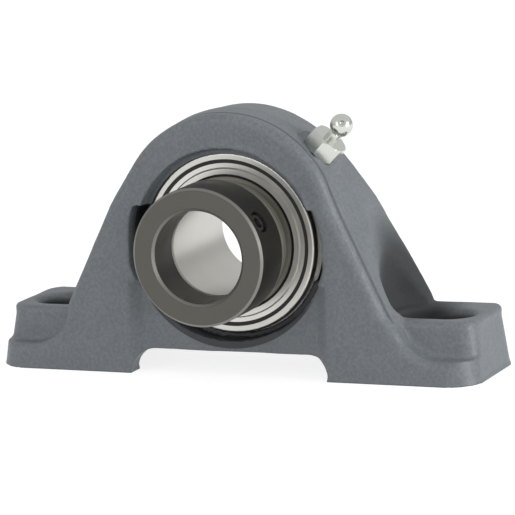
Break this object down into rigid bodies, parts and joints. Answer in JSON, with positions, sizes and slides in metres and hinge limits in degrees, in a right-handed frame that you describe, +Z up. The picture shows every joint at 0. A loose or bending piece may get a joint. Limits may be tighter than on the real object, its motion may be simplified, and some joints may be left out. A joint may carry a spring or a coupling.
{
  "type": "pillow block bearing",
  "caption": "Cast foot-mounted housing with a self-aligning sealed ball bearing insert, an eccentric locking collar and an angled grease fitting.",
  "frame": {"origin": "on the mounting plane, midway between the two bolt slots", "axes": "+X along the base, +Y from the collar side to the back, +Z up from the mounting plane; the shaft runs along Y"},
  "size_m": [0.1426, 0.0547, 0.0731],
  "materials": {
    "cast_housing": "satin grey enamel over a fine sand-cast skin",
    "bearing_steel": "ground and honed",
    "seal_rubber": "moulded, matt",
    "shield_steel": "pressed sheet, bright",
    "flinger_steel": "pressed sheet, satin",
    "cage_steel": "pressed sheet",
    "rivet_steel": "plain",
    "ball_steel": "lapped, mirror bright",
    "collar_black_oxide": "turned and black oxide coated, oiled",
    "screw_steel": "black oxide",
    "zinc_plate": "bright zinc plate",
    "spring_steel": "drawn wire"
  },
  "bodies": {
    "housing": {"housing": "cast_housing", "grease_fitting_body": "zinc_plate", "grease_fitting_spring": "spring_steel"},
    "check_ball": {"grease_fitting_check_ball": "ball_steel"},
    "insert": {"outer_ring": "bearing_steel", "front_seal": "seal_rubber", "rear_seal": "seal_rubber", "front_seal_shield": "shield_steel", "rear_seal_shield": "shield_steel"},
    "shaft_ring": {"inner_ring": "bearing_steel", "front_flinger": "flinger_steel", "rear_flinger": "flinger_steel"},
    "cage": {"cage_front": "cage_steel", "cage_rear": "cage_steel", "cage_rivets": "rivet_steel"},
    "collar": {"eccentric_collar": "collar_black_oxide"},
    "set_screw": {"collar_set_screw": "screw_steel"},
    "ball_1": {"ball_1": "ball_steel"},
    "ball_2": {"ball_2": "ball_steel"},
    "ball_3": {"ball_3": "ball_steel"},
    "ball_4": {"ball_4": "ball_steel"},
    "ball_5": {"ball_5": "ball_steel"},
    "ball_6": {"ball_6": "ball_steel"},
    "ball_7": {"ball_7": "ball_steel"},
    "ball_8": {"ball_8": "ball_steel"},
    "ball_9": {"ball_9": "ball_steel"}
  },
  "joints": [
    {"name": "insert_align", "type": "hinge", "parent": "housing", "child": "insert", "pos_m": [0, -0.006, 0.0365], "axis": [1, 0, 0], "range_deg": [-2, 2]},
    {"name": "shaft_spin", "type": "hinge", "parent": "insert", "child": "shaft_ring", "pos_m": [0, -0.006, 0.0365], "axis": [0, 1, 0], "continuous": true},
    {"name": "cage_spin", "type": "hinge", "parent": "insert", "child": "cage", "pos_m": [0, -0.006, 0.0365], "axis": [0, 1, 0], "continuous": true},
    {"name": "ball_1_spin", "type": "hinge", "parent": "cage", "child": "ball_1", "pos_m": [0, -0.006, 0.05602], "axis": [0, 1, 0], "continuous": true},
    {"name": "ball_2_spin", "type": "hinge", "parent": "cage", "child": "ball_2", "pos_m": [-0.01255, -0.006, 0.05145], "axis": [0, 1, 0], "continuous": true},
    {"name": "ball_3_spin", "type": "hinge", "parent": "cage", "child": "ball_3", "pos_m": [-0.01922, -0.006, 0.03989], "axis": [0, 1, 0], "continuous": true},
    {"name": "ball_4_spin", "type": "hinge", "parent": "cage", "child": "ball_4", "pos_m": [-0.0169, -0.006, 0.02674], "axis": [0, 1, 0], "continuous": true},
    {"name": "ball_5_spin", "type": "hinge", "parent": "cage", "child": "ball_5", "pos_m": [-0.00668, -0.006, 0.01816], "axis": [0, 1, 0], "continuous": true},
    {"name": "ball_6_spin", "type": "hinge", "parent": "cage", "child": "ball_6", "pos_m": [0.00668, -0.006, 0.01816], "axis": [0, 1, 0], "continuous": true},
    {"name": "ball_7_spin", "type": "hinge", "parent": "cage", "child": "ball_7", "pos_m": [0.0169, -0.006, 0.02674], "axis": [0, 1, 0], "continuous": true},
    {"name": "ball_8_spin", "type": "hinge", "parent": "cage", "child": "ball_8", "pos_m": [0.01922, -0.006, 0.03989], "axis": [0, 1, 0], "continuous": true},
    {"name": "ball_9_spin", "type": "hinge", "parent": "cage", "child": "ball_9", "pos_m": [0.01255, -0.006, 0.05145], "axis": [0, 1, 0], "continuous": true},
    {"name": "collar_lock", "type": "hinge", "parent": "shaft_ring", "child": "collar", "pos_m": [0, -0.006, 0.0365], "axis": [0, 1, 0], "range_deg": [0, 18]},
    {"name": "set_screw_travel", "type": "slide", "parent": "collar", "child": "set_screw", "axis": [0.866, 0, 0.5], "range_m": [-0.0004, 0.003]},
    {"name": "check_ball_lift", "type": "slide", "parent": "housing", "child": "check_ball", "axis": [-0.4056, 0.8192, -0.4056], "range_m": [0, 0.0006], "stiffness_N_per_m": 300, "springref_m": -0.0005, "deforming": ["grease_fitting_spring"]}
  ],
  "couplings": [
    {"joint": "cage_spin", "follows": "shaft_spin", "ratio": 0.39833},
    {"joint": "ball_1_spin", "follows": "shaft_spin", "ratio": -2.3574},
    {"joint": "ball_2_spin", "follows": "shaft_spin", "ratio": -2.3574},
    {"joint": "ball_3_spin", "follows": "shaft_spin", "ratio": -2.3574},
    {"joint": "ball_4_spin", "follows": "shaft_spin", "ratio": -2.3574},
    {"joint": "ball_5_spin", "follows": "shaft_spin", "ratio": -2.3574},
    {"joint": "ball_6_spin", "follows": "shaft_spin", "ratio": -2.3574},
    {"joint": "ball_7_spin", "follows": "shaft_spin", "ratio": -2.3574},
    {"joint": "ball_8_spin", "follows": "shaft_spin", "ratio": -2.3574},
    {"joint": "ball_9_spin", "follows": "shaft_spin", "ratio": -2.3574}
  ]
}
